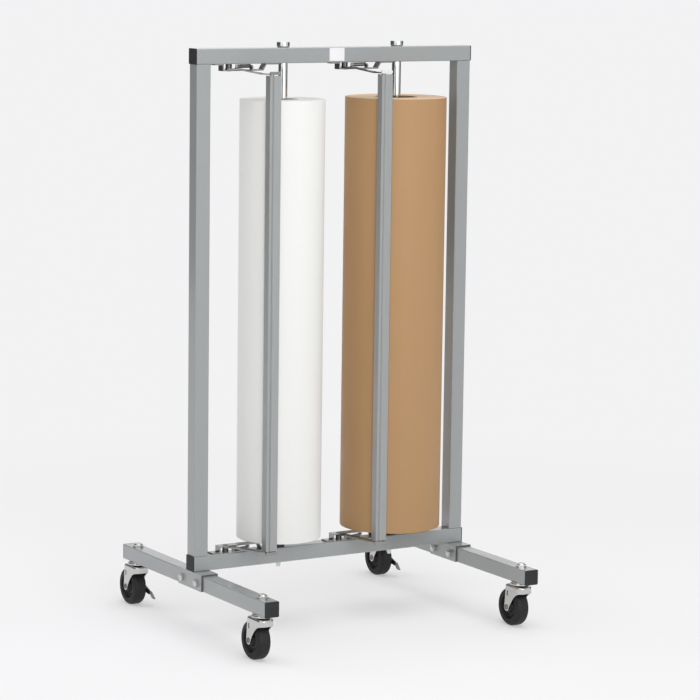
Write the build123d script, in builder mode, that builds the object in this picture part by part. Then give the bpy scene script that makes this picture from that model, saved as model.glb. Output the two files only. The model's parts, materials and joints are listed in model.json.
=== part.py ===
"""Castered rack that stands two wide paper rolls upright, each with a spring-loaded cutter bar.

Millimetres. X runs along the rails to the right, +Y to the back, +Z up.
The origin is on the floor, under the middle of the whole rack.
"""
import math
import os

from build123d import *

os.makedirs("parts", exist_ok=True)

# Clearances
fit_gap = 0.1  # fastener in its hole, cap in its tube, core in its paper
run_gap = 0.3  # turning, sliding or swinging piece beside its neighbour
overrun = 1.0  # how far a cut passes the face that it opens

# Sides of the repeated or hidden rounds, which are drawn with few faces
bolt_facets = 8
stem_facets = 12
bore_facets = 16
disc_facets = 24

# Square tube of the rails, uprights and feet
tube = 31.75
tube_wall = 1.65
tube_corner = 1.4
foot_length = 621.5
cap_flange = 2.0
cap_plug = 12.0
cap_wall = 2.0

# Saddle that sits over each foot, with its bolts
saddle_plate = 3.2
saddle_length = 101.6
saddle_bolt_pitch = 63.5
bolt = 9.5
bolt_flats = 14.3
bolt_head = 6.2
bolt_nut = 8.2
bolt_tail = 2.5

# Caster stem, with its raceway and nut
caster_height = 98.0
stem_inset = 37.75
stem = 12.7
stem_nut_flats = 19.05
stem_nut = 8.0
stem_sunk = 2.5
washer_diameter = 36.0
washer_height = 2.2
race_diameter = 44.0
race_height = 4.0
thrust_diameter = 38.0
thrust_height = 2.0
king_pin = 12.0
king_head_flats = 19.0
king_head = 2.6

# Caster fork, wheel and axle
wheel_diameter = 80.0
wheel_trail = 25.0
rim_width = 29.0
tread_width = 25.4
rim_diameter = 60.0
dish_diameter = 50.0
dish_depth = 4.6
hub_diameter = 22.0
hub_width = 30.4
axle = 8.0
axle_tail = 1.6
fork_plate = 2.5
fork_front = 22.5
fork_back = 33.0
fork_corner = 10.0
skirt_depth = 15.0
gusset_drop = 13.5
leg_front = 2.0
leg_end = 9.0
leg_bend = 15.0
slot_width = 4.0
slot_length = 11.0
slot_drop = 2.0

# Brake lever of the rear casters
lever_plate = 2.5
lever_hub = 9.0
lever_end = 5.0
lever_reach = 40.0
lever_drop = 9.0
pedal_width = 13.0
pedal_out = 8.0
pedal_drop = 16.0

# Rolls with their cores, seats and rods
rod = 19.05
rod_tip = 11.5
rod_point = 21.5
rod_point_diameter = 7.0
collar_diameter = 27.0
collar_height = 11.3
collar_edge = 2.0
roll_length = 914.4
roll_lift = 21.6
head_room = 73.65
bracket_clear = 12.75
cutter_clear = 22.0
roll_clear = 35.25
white_diameter = 177.0
kraft_diameter = 214.0
white_core_bore = 50.8
kraft_core_bore = 76.2
core_wall = 6.4
seat_lip = 1.5
seat_flange = 3.0
seat_boss_diameter = 26.0
spigot_height = 22.0

# Arm bracket, a strip bent like a hat and fixed to the inner face of a rail
strap = 2.5
bracket_width = 19.0
bracket_reach = 14.6
pivot_to_left_leg = 18.5
left_foot = 18.0
bracket_to_rod = 4.475
right_leg_run = 7.5
right_foot = 29.5
ear_from_pivot = 52.5
ear_width = 11.0
ear_length = 11.0
hook_hole = 3.6
hook_hole_inset = 3.6

# Pivot stud, arm and cutter bar
stud = 13.0
stud_step = 9.0
stud_neck = 10.0
stud_rivet = 0.8
arm_width = 16.0
arm_flat = 22.0
arm_slope = 50.0
arm_length = 92.7
rod_past_arm = 33.8
tip_angle = 47.7
tip_width = 24.5
tip_depth = 17.0
tip_aside = 4.5
tip_front = 8.0
tip_spacer = 2.0
spacer_diameter = 9.0
tab_height = 4.0
tip_screw = 4.0
tip_screw_length = 15.0
tip_screw_flats = 8.0
tip_screw_head = 3.0
upper_bar_gap = 22.0
lower_bar_gap = 8.6
bar_sheet = 1.8
bar_web = 25.7
bar_flange = 18.0
screw_port_diameter = 8.4
screw_port_depth = 8.0
groove_middle = 8.3
groove_width = 5.0
groove_depth = 2.5
lip_run = 2.6
lip_depth = 2.8
paper_gap = 0.3

# Extension spring between the arm's post and the bracket's ear
post = 4.6
post_reach = 16.5
post_tip_gap = 1.0
spring_wire = 1.2
spring_radius = 3.4
spring_depth = 4.9
spring_turns = 3
wire_sides = 3
loop_start = 225.0
hook_end = 380.0
wire_samples = 24

# Heights, from the floor up
upright_length = roll_lift + roll_length + head_room
foot_top = caster_height + tube
rail_base = foot_top + saddle_plate
lower_face = rail_base + tube
upper_face = lower_face + upright_length
rack_top = upper_face + tube
roll_base = lower_face + roll_lift
axle_height = wheel_diameter / 2

# Plan of the rails: brackets, rolls and rods from the left end to the right
pivot_to_rod = arm_length + rod_past_arm
bracket_right = pivot_to_rod - rod / 2 - bracket_to_rod
bridge_length = pivot_to_left_leg + bracket_right - right_foot - right_leg_run
bracket_left = pivot_to_rod + pivot_to_left_leg + left_foot
left_margin = tube + bracket_clear + bracket_left
rod_pitch = white_diameter / 2 + cutter_clear + bracket_left
right_margin = kraft_diameter / 2 + roll_clear + tube
rail_length = left_margin + rod_pitch + right_margin
left_rod_x = left_margin - rail_length / 2
right_rod_x = rail_length / 2 - right_margin

# Plan of the rack: the frame stands a little forward, because the rear wheels trail behind the feet
stem_pitch = foot_length - 2 * stem_inset
front_reach = foot_length / 2 + cap_flange
rear_reach = stem_pitch / 2 + wheel_trail + wheel_diameter / 2
frame_y = (front_reach - rear_reach) / 2
saddle_inside = tube + 2 * fit_gap
saddle_width = saddle_inside + 2 * saddle_plate
foot_x = rail_length / 2 + cap_flange - saddle_width / 2
upright_x = rail_length / 2 - tube / 2


def save(part, node):
    """Label a finished piece and write it under its node's name."""
    part.label = node
    export_step(part, f"parts/{node}.step")


def strip_outline(points, thickness):
    """Closed outline of a strip bent along the points, its thickness on the left of the way they run."""
    spots = [Vector(*point) for point in points]
    runs = [(after - before).normalized() for before, after in zip(spots, spots[1:])]
    inner = []
    for index, spot in enumerate(spots):
        before = runs[max(index - 1, 0)]
        after = runs[min(index, len(runs) - 1)]
        normals = Vector(-before.Y, before.X) + Vector(-after.Y, after.X)
        inner.append(spot + normals * (thickness / (1 + before.dot(after))))
    return [(spot.X, spot.Y) for spot in spots + inner[::-1]]


def tube_sketch(size):
    """Outline of a square tube with broken corners."""
    Rectangle(size, size)
    chamfer(vertices(), tube_corner)


def square_tube(plane, length):
    """Hollow square tube that runs from the plane along its normal."""
    with BuildPart() as hollow:
        with BuildSketch(plane):
            tube_sketch(tube)
            Rectangle(tube - 2 * tube_wall, tube - 2 * tube_wall, mode=Mode.SUBTRACT)
        extrude(amount=length)
    return hollow.part


def turned(plane, outline):
    """Solid of revolution about the plane's own Y axis, from an outline of radii and heights."""
    with BuildPart() as solid:
        with BuildSketch(plane):
            with BuildLine():
                Polyline(*outline, close=True)
            make_face()
        revolve(axis=Axis(plane.origin, plane.y_dir))
    return solid.part


def upright_plane(x, y, z):
    """Plane that faces the front, with its Y axis up."""
    return Plane(origin=(x, y, z), x_dir=(1, 0, 0), z_dir=(0, -1, 0))


def hex_nut(plane, flats, height, hole, facets):
    """Hex nut that stands on the plane, with a hole for a faceted shank."""
    with BuildPart() as nut:
        with BuildSketch(plane):
            RegularPolygon(flats / 2, 6, major_radius=False)
            RegularPolygon(hole / 2 + fit_gap, facets, mode=Mode.SUBTRACT)
        extrude(amount=height)
    return nut.part


# Rails: square tube with a pair of rod holes straight through
for node, base in (("bottom_rail", rail_base), ("top_rail", upper_face)):
    rail_start = Plane(
        origin=(-rail_length / 2, frame_y, base + tube / 2), x_dir=(0, 1, 0), z_dir=(1, 0, 0)
    )
    with BuildPart() as rail:
        add(square_tube(rail_start, rail_length))
        with BuildSketch(Plane.XY.offset(base - overrun)):
            with Locations((left_rod_x, frame_y), (right_rod_x, frame_y)):
                RegularPolygon(rod / 2 + run_gap, stem_facets, major_radius=False)
        extrude(amount=tube + 2 * overrun, mode=Mode.SUBTRACT)
    save(rail.part, node)

# Uprights, welded between the rails and flush with their ends
for node, x in (("left_upright", -upright_x), ("right_upright", upright_x)):
    save(square_tube(Plane(origin=(x, frame_y, lower_face)), upright_length), node)

# Feet: square tube with holes for the saddle bolts and the caster stems
bolt_height = caster_height + tube / 2
for node, x in (("left_foot", -foot_x), ("right_foot", foot_x)):
    foot_start = Plane(
        origin=(x, frame_y - foot_length / 2, bolt_height), x_dir=(-1, 0, 0), z_dir=(0, 1, 0)
    )
    across = Plane(
        origin=(x - tube / 2 - overrun, frame_y, bolt_height), x_dir=(0, 1, 0), z_dir=(1, 0, 0)
    )
    below = Plane(origin=(x, frame_y, caster_height - overrun))
    with BuildPart() as foot:
        add(square_tube(foot_start, foot_length))
        with BuildSketch(across):
            with GridLocations(saddle_bolt_pitch, 0, 2, 1):
                RegularPolygon(bolt / 2 + fit_gap, bolt_facets)
        with BuildSketch(below):
            with GridLocations(0, stem_pitch, 1, 2):
                RegularPolygon(stem / 2 + fit_gap, stem_facets)
        extrude(amount=tube + 2 * overrun, mode=Mode.SUBTRACT)
    save(foot.part, node)

# Saddles: inverted channels under the ends of the bottom rail, over the feet
for node, x in (("left_saddle", -foot_x), ("right_saddle", foot_x)):
    saddle_front = upright_plane(x, frame_y, caster_height)
    side = saddle_width / 2
    across = Plane(
        origin=(x - side - overrun, frame_y, bolt_height), x_dir=(0, 1, 0), z_dir=(1, 0, 0)
    )
    channel = [(side, 0), (side, tube + saddle_plate), (-side, tube + saddle_plate), (-side, 0)]
    with BuildPart() as saddle:
        with BuildSketch(saddle_front):
            with BuildLine():
                Polyline(*strip_outline(channel, saddle_plate), close=True)
            make_face()
        extrude(amount=saddle_length / 2, both=True)
        with BuildSketch(across):
            with GridLocations(saddle_bolt_pitch, 0, 2, 1):
                RegularPolygon(bolt / 2 + fit_gap, bolt_facets)
        extrude(amount=saddle_width + 2 * overrun, mode=Mode.SUBTRACT)
    save(saddle.part, node)

# Saddle bolts, heads outside, and their nuts inside the rack
bolts = []
nuts = []
for side in (-1, 1):
    for step in (-1, 1):
        y = frame_y + step * saddle_bolt_pitch / 2
        head_face = side * (foot_x + saddle_width / 2)
        nut_face = side * (foot_x - saddle_width / 2)
        outward = Plane(origin=(head_face, y, bolt_height), x_dir=(0, 1, 0), z_dir=(side, 0, 0))
        inward = Plane(origin=(nut_face, y, bolt_height), x_dir=(0, 1, 0), z_dir=(-side, 0, 0))
        with BuildPart() as saddle_bolt:
            with BuildSketch(outward):
                RegularPolygon(bolt_flats / 2, 6, major_radius=False)
            extrude(amount=bolt_head)
            with BuildSketch(outward):
                RegularPolygon(bolt / 2, bolt_facets)
            extrude(amount=-(saddle_width + bolt_nut + bolt_tail))
        bolts.append(saddle_bolt.part)
        nuts.append(hex_nut(inward, bolt_flats, bolt_nut, bolt, bolt_facets))
save(Compound(bolts), "saddle_bolts")
save(Compound(nuts), "saddle_nuts")


def end_cap(plane):
    """Push-in cap: a flange over the tube's end and a hollow plug inside it, along the plane's normal."""
    plug = tube - 2 * tube_wall - 2 * fit_gap
    with BuildPart() as cap:
        with BuildSketch(plane):
            tube_sketch(tube)
        extrude(amount=-cap_flange)
        with BuildSketch(plane):
            Rectangle(plug, plug)
            Rectangle(plug - 2 * cap_wall, plug - 2 * cap_wall, mode=Mode.SUBTRACT)
        extrude(amount=cap_plug)
    return cap.part


rail_caps = []
foot_caps = []
for side in (-1, 1):
    for base in (rail_base, upper_face):
        rail_end = Plane(
            origin=(side * rail_length / 2, frame_y, base + tube / 2),
            x_dir=(0, 1, 0),
            z_dir=(-side, 0, 0),
        )
        rail_caps.append(end_cap(rail_end))
    for end in (-1, 1):
        foot_end = Plane(
            origin=(side * foot_x, frame_y + end * foot_length / 2, bolt_height),
            x_dir=(1, 0, 0),
            z_dir=(0, -end, 0),
        )
        foot_caps.append(end_cap(foot_end))
save(Compound(rail_caps), "rail_end_caps")
save(Compound(foot_caps), "foot_end_caps")

# Caster stems: a threaded stem through the foot, a raceway under it and a king pin below that
crown_top = caster_height - washer_height - race_height - thrust_height - run_gap
crown_base = crown_top - fork_plate
corners = {
    "front_left": (-foot_x, frame_y - stem_pitch / 2),
    "front_right": (foot_x, frame_y - stem_pitch / 2),
    "rear_left": (-foot_x, frame_y + stem_pitch / 2),
    "rear_right": (foot_x, frame_y + stem_pitch / 2),
}
stack = [
    (washer_diameter, washer_height),
    (race_diameter, race_height),
    (thrust_diameter, thrust_height),
]
stem_nuts = []
for corner, (x, y) in corners.items():
    with BuildPart() as caster_stem:
        with BuildSketch(Plane(origin=(x, y, caster_height))):
            RegularPolygon(stem / 2, stem_facets)
        extrude(amount=tube + stem_nut - stem_sunk)
        level = caster_height
        for diameter, height in stack:
            with BuildSketch(Plane(origin=(x, y, level))):
                RegularPolygon(diameter / 2, stem_facets)
            extrude(amount=-height)
            level -= height
        with BuildSketch(Plane(origin=(x, y, level))):
            Circle(king_pin / 2)
        extrude(amount=-(fork_plate + 2 * run_gap))
        with BuildSketch(Plane(origin=(x, y, crown_base - run_gap))):
            RegularPolygon(king_head_flats / 2, 6, major_radius=False)
        extrude(amount=-king_head)
    save(caster_stem.part, f"{corner}_caster_stem")
    stem_nuts.append(
        hex_nut(Plane(origin=(x, y, foot_top)), stem_nut_flats, stem_nut, stem, stem_facets)
    )
save(Compound(stem_nuts), "caster_stem_nuts")

# Caster forks, wheels and axles
fork_inside = hub_width + 2 * run_gap
fork_width = fork_inside + 2 * fork_plate
skirt_base = crown_top - skirt_depth


def fork(x, y):
    """Pressed fork: a crown with a skirt round its front and two legs that reach back to the axle."""
    middle = (fork_back - fork_front) / 2
    length = fork_front + fork_back
    with BuildPart() as pressed:
        with BuildSketch(Plane(origin=(x, y + middle, skirt_base))):
            Rectangle(fork_width, length)
            front_corners = vertices().group_by(Axis.Y)[0]
            chamfer(front_corners, fork_corner)
        extrude(amount=skirt_depth)
        with BuildSketch(Plane(origin=(x, y + middle, skirt_base))):
            with Locations((0, fork_plate)):
                Rectangle(fork_inside, length)
            inner_corners = vertices().group_by(Axis.Y)[0]
            chamfer(inner_corners, fork_corner - fork_plate)
        extrude(amount=skirt_depth - fork_plate, mode=Mode.SUBTRACT)
        for side in (-1, 1):
            leg_face = Plane(
                origin=(x + side * fork_inside / 2, y, 0), x_dir=(0, 1, 0), z_dir=(1, 0, 0)
            )
            with BuildSketch(leg_face):
                with BuildLine():
                    front = Polyline(
                        (fork_back, crown_base),
                        (-fork_front + fork_corner, crown_base),
                        (-fork_front + fork_corner, skirt_base),
                        (leg_front, skirt_base - gusset_drop),
                        (wheel_trail - leg_end, axle_height),
                    )
                    ThreePointArc(
                        front @ 1,
                        (wheel_trail, axle_height - leg_end),
                        (wheel_trail + leg_end, axle_height),
                    )
                    Line((wheel_trail + leg_end, axle_height), (fork_back, crown_base))
                make_face()
                bend = vertices().sort_by_distance((leg_front, skirt_base - gusset_drop))[0]
                fillet(bend, leg_bend)
                with Locations((wheel_trail, axle_height)):
                    RegularPolygon(axle / 2 + fit_gap, bolt_facets, mode=Mode.SUBTRACT)
                with Locations((wheel_trail, skirt_base + slot_drop - slot_length / 2)):
                    Rectangle(slot_width, slot_length, mode=Mode.SUBTRACT)
            extrude(amount=side * fork_plate)
        with BuildSketch(Plane(origin=(x, y, crown_base - overrun))):
            RegularPolygon(king_pin / 2 + run_gap, stem_facets, major_radius=False)
        extrude(amount=fork_plate + 2 * overrun, mode=Mode.SUBTRACT)
    return pressed.part


def wheel(x, y):
    """Dished wheel with a hub and a tread between two sloping shoulders."""
    hub_side = hub_width / 2
    rim_side = rim_width / 2
    dish_side = rim_side - dish_depth
    bore_start = Plane(origin=(x - hub_side, y, axle_height), x_dir=(0, 1, 0), z_dir=(1, 0, 0))
    half = [
        (hub_side, 0),
        (hub_side, hub_diameter / 2),
        (dish_side, dish_diameter / 2),
        (rim_side, rim_diameter / 2),
        (tread_width / 2, wheel_diameter / 2),
    ]
    outline = half + [(-across, radius) for across, radius in half[::-1]]
    with BuildPart() as dished:
        with BuildSketch(upright_plane(x, y, axle_height)):
            with BuildLine():
                Polyline(*outline, close=True)
            make_face()
        revolve(axis=Axis((x, y, axle_height), (1, 0, 0)))
        with BuildSketch(bore_start):
            RegularPolygon(axle / 2 + run_gap, bolt_facets, major_radius=False)
        extrude(amount=hub_width, mode=Mode.SUBTRACT)
    return dished.part


for corner, (x, y) in corners.items():
    axle_y = y + wheel_trail
    lever_room = lever_plate + 2 * run_gap if corner.startswith("rear") else 0
    axle_start = Plane(
        origin=(x - fork_width / 2 - axle_tail, axle_y, axle_height), x_dir=(0, 1, 0), z_dir=(1, 0, 0)
    )
    with BuildPart() as wheel_axle:
        with BuildSketch(axle_start):
            RegularPolygon(axle / 2, bolt_facets)
        extrude(amount=fork_width + 2 * axle_tail + lever_room)
    save(fork(x, y), f"{corner}_caster_fork")
    save(wheel(x, axle_y), f"{corner}_caster_wheel")
    save(wheel_axle.part, f"{corner}_caster_axle")

# Brake levers on the right-hand side of the rear casters, each with a pedal bent outward
for corner in ("rear_left", "rear_right"):
    x, y = corners[corner]
    lever_x = x + fork_width / 2 + run_gap
    lever_face = Plane(
        origin=(lever_x, y + wheel_trail, axle_height), x_dir=(0, 1, 0), z_dir=(1, 0, 0)
    )
    pedal_back = -lever_reach + pedal_width / 2
    pedal_plane = upright_plane(lever_x, y + wheel_trail + pedal_back, axle_height - lever_drop)
    pedal = [(0, 0), (lever_plate, 0), (lever_plate + pedal_out, -pedal_drop)]
    with BuildPart() as lever:
        with BuildSketch(lever_face):
            Circle(lever_hub)
            with Locations((-lever_reach, -lever_drop)):
                Circle(lever_end)
            make_hull()
            RegularPolygon(axle / 2 + run_gap, bolt_facets, major_radius=False, mode=Mode.SUBTRACT)
        extrude(amount=lever_plate)
        with BuildSketch(pedal_plane):
            with BuildLine():
                Polyline(*strip_outline(pedal, lever_plate), close=True)
            make_face()
        extrude(amount=pedal_width)
    save(lever.part, f"{corner}_brake_lever")

# Rolls, cores, seats, rods and collars
rolls = {
    "left": (left_rod_x, white_diameter, white_core_bore),
    "right": (right_rod_x, kraft_diameter, kraft_core_bore),
}
for side, (x, diameter, core_bore) in rolls.items():
    core_diameter = core_bore + 2 * core_wall
    foot_of_roll = Plane(origin=(x, frame_y, roll_base))
    with BuildPart() as paper:
        with BuildSketch(foot_of_roll):
            Circle(diameter / 2)
            RegularPolygon(core_diameter / 2 + fit_gap, disc_facets, mode=Mode.SUBTRACT)
        extrude(amount=roll_length)
    save(paper.part, f"{side}_paper_roll")
    with BuildPart() as core:
        with BuildSketch(foot_of_roll):
            RegularPolygon(core_diameter / 2, disc_facets)
            RegularPolygon(core_bore / 2, disc_facets, mode=Mode.SUBTRACT)
        extrude(amount=roll_length)
    save(core.part, f"{side}_roll_core")
    under_roll = Plane(origin=(x, frame_y, lower_face))
    with BuildPart() as seat:
        with BuildSketch(under_roll):
            RegularPolygon(seat_boss_diameter / 2, bore_facets)
        extrude(amount=roll_lift)
        with BuildSketch(foot_of_roll):
            RegularPolygon(core_diameter / 2 + seat_lip, disc_facets)
        extrude(amount=-seat_flange)
        with BuildSketch(foot_of_roll):
            RegularPolygon(core_bore / 2 - fit_gap, disc_facets)
        extrude(amount=spigot_height)
        with BuildSketch(under_roll):
            RegularPolygon(rod / 2 + run_gap, bore_facets, major_radius=False)
        extrude(amount=roll_lift + spigot_height, mode=Mode.SUBTRACT)
    save(seat.part, f"{side}_roll_seat")
    rod_base = rail_base - rod_tip
    rod_outline = [
        (0, rod_base),
        (rod_point_diameter / 2, rod_base),
        (rod / 2, rod_base + rod_point),
        (rod / 2, rack_top + collar_height),
        (0, rack_top + collar_height),
    ]
    save(turned(upright_plane(x, frame_y, 0), rod_outline), f"{side}_roll_rod")
    with BuildPart() as collar:
        with BuildSketch(Plane(origin=(x, frame_y, rack_top))):
            RegularPolygon(collar_diameter / 2, disc_facets)
        extrude(amount=collar_height)
        chamfer(edges().group_by(Axis.Z)[0], collar_edge)
        with BuildSketch(Plane(origin=(x, frame_y, rack_top))):
            RegularPolygon(rod / 2 + fit_gap, disc_facets, major_radius=False)
        extrude(amount=collar_height, mode=Mode.SUBTRACT)
    save(collar.part, f"{side}_rod_collar")

# Cutter: the bar hangs on a screw at each arm's tip, with its web along the rails and its edge on the roll
edge_u = bar_web - lip_run
edge_v = lip_depth
screw_u = groove_middle
screw_v = screw_port_depth
arm_depth = stud_step + run_gap
levels = {"upper": (upper_face, -1, upper_bar_gap), "lower": (lower_face, 1, lower_bar_gap)}
hook_depth = spring_depth + spring_radius
hook_hole_y = hook_hole_inset - ear_width / 2
half_turn = 180.0


def arm_turn(roll_diameter):
    """Angle of an arm forward of the rails, with the cutting edge just off a roll of this size."""
    touch = roll_diameter / 2 + paper_gap
    away = pivot_to_rod - (edge_u - screw_u)
    aside = edge_v - screw_v
    reach = math.hypot(away, aside)
    cosine = (arm_length**2 + reach**2 - touch**2) / (2 * arm_length * reach)
    return math.degrees(math.atan2(aside, away) + math.acos(cosine))


def arm_plane(rod_x, roll_diameter):
    """Upright plane along the middle of an arm, from its pivot, with its Y axis up."""
    turn = math.radians(arm_turn(roll_diameter))
    along = Vector(math.cos(turn), -math.sin(turn), 0)
    return Plane(
        origin=(rod_x - pivot_to_rod, frame_y, 0), x_dir=along, z_dir=along.cross(Vector(0, 0, 1))
    )


def tip_plane(rod_x, roll_diameter, z, turn):
    """Level plane at the screw of an arm's tip, turned from the rails."""
    spot = arm_plane(rod_x, roll_diameter).from_local_coords((arm_length, z, 0))
    return Plane(origin=spot).rotated((0, 0, turn))


def bracket(rod_x, face, inward):
    """Hat-shaped strip on a rail's inner face, with a hole for the stud and an ear for the spring."""
    side_view = Plane(origin=(rod_x - pivot_to_rod, frame_y, face), x_dir=(1, 0, 0), z_dir=(0, -inward, 0))
    plan = Plane(origin=(rod_x - pivot_to_rod, frame_y, face), x_dir=(1, 0, 0), z_dir=(0, 0, inward))
    left = -pivot_to_left_leg
    right = left + bridge_length
    hat = [
        (left - left_foot, strap),
        (left, strap),
        (left, bracket_reach),
        (right, bracket_reach),
        (right + right_leg_run, strap),
        (right + right_leg_run + right_foot, strap),
    ]
    outline = strip_outline(hat[::-1], strap)
    ear = [
        (ear_from_pivot - strap / 2, bracket_reach),
        (ear_from_pivot + strap / 2, bracket_reach),
        (ear_from_pivot + strap / 2, bracket_reach - ear_length),
        (ear_from_pivot - strap / 2, bracket_reach - ear_length),
    ]
    with BuildPart() as hat_strip:
        with BuildSketch(side_view):
            with BuildLine():
                Polyline(*outline, close=True)
            make_face()
        extrude(amount=bracket_width / 2, both=True)
        with BuildSketch(plan):
            RegularPolygon(stud_neck / 2 + fit_gap, stem_facets, major_radius=False)
            with Locations((ear_from_pivot + strap / 2 + ear_length / 2, 0)):
                Rectangle(ear_length, ear_width)
        extrude(amount=bracket_reach + overrun, mode=Mode.SUBTRACT)
        with BuildSketch(side_view):
            with BuildLine():
                Polyline(*ear, close=True)
            make_face()
        extrude(amount=ear_width / 2, both=True)
        ear_side = Plane(
            origin=side_view.from_local_coords((ear_from_pivot - strap, hook_depth, 0)),
            x_dir=(0, 1, 0),
            z_dir=(1, 0, 0),
        )
        with BuildSketch(ear_side):
            with Locations((hook_hole_y, 0)):
                RegularPolygon(hook_hole / 2, bolt_facets)
        extrude(amount=2 * strap, mode=Mode.SUBTRACT)
    return hat_strip.part


def stud_pin(rod_x, face, inward):
    """Stepped pivot stud from the rail to the bridge, its neck riveted over in the bridge."""
    plan = Plane(origin=(rod_x - pivot_to_rod, frame_y, face), x_dir=(1, 0, 0), z_dir=(0, 0, inward))
    with BuildPart() as pin:
        with BuildSketch(plan):
            RegularPolygon(stud / 2, stem_facets)
        extrude(amount=stud_step)
        with BuildSketch(plan):
            RegularPolygon(stud_neck / 2, stem_facets)
        extrude(amount=bracket_reach + stud_rivet)
    return pin.part


def arm(rod_x, roll_diameter, face, inward, bar_gap):
    """Strap from its hub on the stud to the bar's end, where it widens and turns into a tab."""
    hub_z = face + inward * arm_depth
    plate_z = face + inward * (bar_gap - tip_spacer)
    profile = [
        (0, hub_z),
        (arm_flat, hub_z),
        (arm_flat + arm_slope, plate_z - inward * strap),
        (arm_length, plate_z - inward * strap),
    ]
    outline = strip_outline(profile if inward > 0 else profile[::-1], strap)
    along = arm_plane(rod_x, roll_diameter)
    hub = Plane(origin=(rod_x - pivot_to_rod, frame_y, hub_z), x_dir=along.x_dir, z_dir=(0, 0, inward))
    tip = tip_plane(rod_x, roll_diameter, plate_z, tip_angle - arm_turn(roll_diameter))
    with BuildPart() as strip:
        with BuildSketch(along):
            with BuildLine():
                Polyline(*outline, close=True)
            make_face()
        extrude(amount=arm_width / 2, both=True)
        with BuildSketch(hub):
            Circle(arm_width / 2)
        extrude(amount=strap)
        with BuildSketch(tip):
            with Locations((tip_aside, tip_depth / 2 - tip_front)):
                Rectangle(tip_width, tip_depth)
        extrude(amount=-inward * strap)
        with BuildSketch(tip):
            with Locations((tip_aside, strap / 2 - tip_front)):
                Rectangle(tip_width, strap)
        extrude(amount=-inward * (strap + tab_height))
        with BuildSketch(hub):
            RegularPolygon(stud_neck / 2 + run_gap, bore_facets, major_radius=False)
        extrude(amount=strap, mode=Mode.SUBTRACT)
        with BuildSketch(tip):
            RegularPolygon(tip_screw / 2 + fit_gap, bolt_facets, major_radius=False)
        extrude(amount=-inward * strap, mode=Mode.SUBTRACT)
    return strip.part


def shoulder_screw(rod_x, roll_diameter, face, inward, bar_gap):
    """Screw through an arm's tip into the bar's port, with a collar that keeps the two apart."""
    plate_z = face + inward * (bar_gap - tip_spacer)
    inner = tip_plane(rod_x, roll_diameter, plate_z, 0)
    outer = tip_plane(rod_x, roll_diameter, plate_z - inward * strap, 0)
    with BuildPart() as screw:
        with BuildSketch(outer):
            RegularPolygon(tip_screw_flats / 2, 6, major_radius=False)
        extrude(amount=-inward * tip_screw_head)
        with BuildSketch(outer):
            RegularPolygon(tip_screw / 2, bolt_facets)
        extrude(amount=inward * tip_screw_length)
        with BuildSketch(inner):
            RegularPolygon(spacer_diameter / 2, bolt_facets)
        extrude(amount=inward * (tip_spacer - run_gap))
    return screw.part


def spring_post(rod_x, roll_diameter, face, inward):
    """Post on an arm, towards the rail, for the spring's loop."""
    along = arm_plane(rod_x, roll_diameter)
    foot_spot = along.from_local_coords((post_reach, face + inward * arm_depth, 0))
    with BuildPart() as stub:
        with BuildSketch(Plane(origin=foot_spot, x_dir=along.x_dir, z_dir=(0, 0, -inward))):
            RegularPolygon(post / 2, bolt_facets)
        extrude(amount=arm_depth - post_tip_gap)
    return stub.part


def biarc_joint(start, way_in, end, way_out):
    """Point where two arcs meet that leave the start and reach the end in the given ways."""
    chord = end - start
    both = way_in + way_out
    bend = 2 * (1 - way_in.dot(way_out))
    reach = (-chord.dot(both) + math.sqrt(chord.dot(both) ** 2 + bend * chord.dot(chord))) / bend
    return (start + end + (way_in - way_out) * reach) / 2


def spring(rod_x, roll_diameter, face, inward):
    """Extension spring: a loop round the post, the coil, and a hook through the ear, in one wire."""
    along = arm_plane(rod_x, roll_diameter)
    centre = along.from_local_coords((post_reach, 0, 0))
    ear_hole = Vector(rod_x - pivot_to_rod + ear_from_pivot, frame_y + hook_hole_y, 0)
    span = (ear_hole - centre).length
    lean = math.atan2(ear_hole.Y - centre.Y, ear_hole.X - centre.X) + math.asin(spring_radius / span)
    ahead = Vector(math.cos(lean), math.sin(lean), 0)
    aside = Vector(-math.sin(lean), math.cos(lean), 0)
    into = Vector(0, 0, inward)
    base = Vector(centre.X, centre.Y, face + inward * spring_depth)
    coil_end = math.sqrt(span**2 - spring_radius**2) - spring_radius
    pitch = (coil_end - spring_radius) / spring_turns

    def at(x, y, depth):
        return base + ahead * x + aside * y + into * depth

    def ring(middle, angle):
        a = math.radians(angle)
        return at(middle + spring_radius * math.cos(a), spring_radius * math.sin(a), spring_radius)

    def coil(turn):
        a = 2 * math.pi * turn
        x = spring_radius + pitch * turn
        return at(x, -spring_radius * math.sin(a), spring_radius * math.cos(a))

    def coil_way(turn):
        a = 2 * math.pi * turn
        rise = pitch / (2 * math.pi)
        way = ahead * rise - aside * spring_radius * math.cos(a) - into * spring_radius * math.sin(a)
        return way.normalized()

    with BuildPart() as wound:
        with BuildLine() as wire:
            ThreePointArc(ring(0, loop_start), ring(0, loop_start / 2), ring(0, 0))
            for half in range(2 * spring_turns):
                start, end = coil(half / 2), coil(half / 2 + 1 / 2)
                way_in, way_out = coil_way(half / 2), coil_way(half / 2 + 1 / 2)
                joint = biarc_joint(start, way_in, end, way_out)
                first = TangentArc(start, joint, tangent=way_in)
                TangentArc(joint, end, tangent=first % 1)
            hook_middle = coil_end + spring_radius
            swing = hook_end - half_turn
            ThreePointArc(
                ring(hook_middle, half_turn),
                ring(hook_middle, half_turn + swing / 2),
                ring(hook_middle, hook_end),
            )
        with BuildSketch(Plane(origin=wire.line @ 0, z_dir=wire.line % 0)):
            RegularPolygon(spring_wire / 2, wire_sides)
        sweep()
    return wound.part, wire


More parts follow.
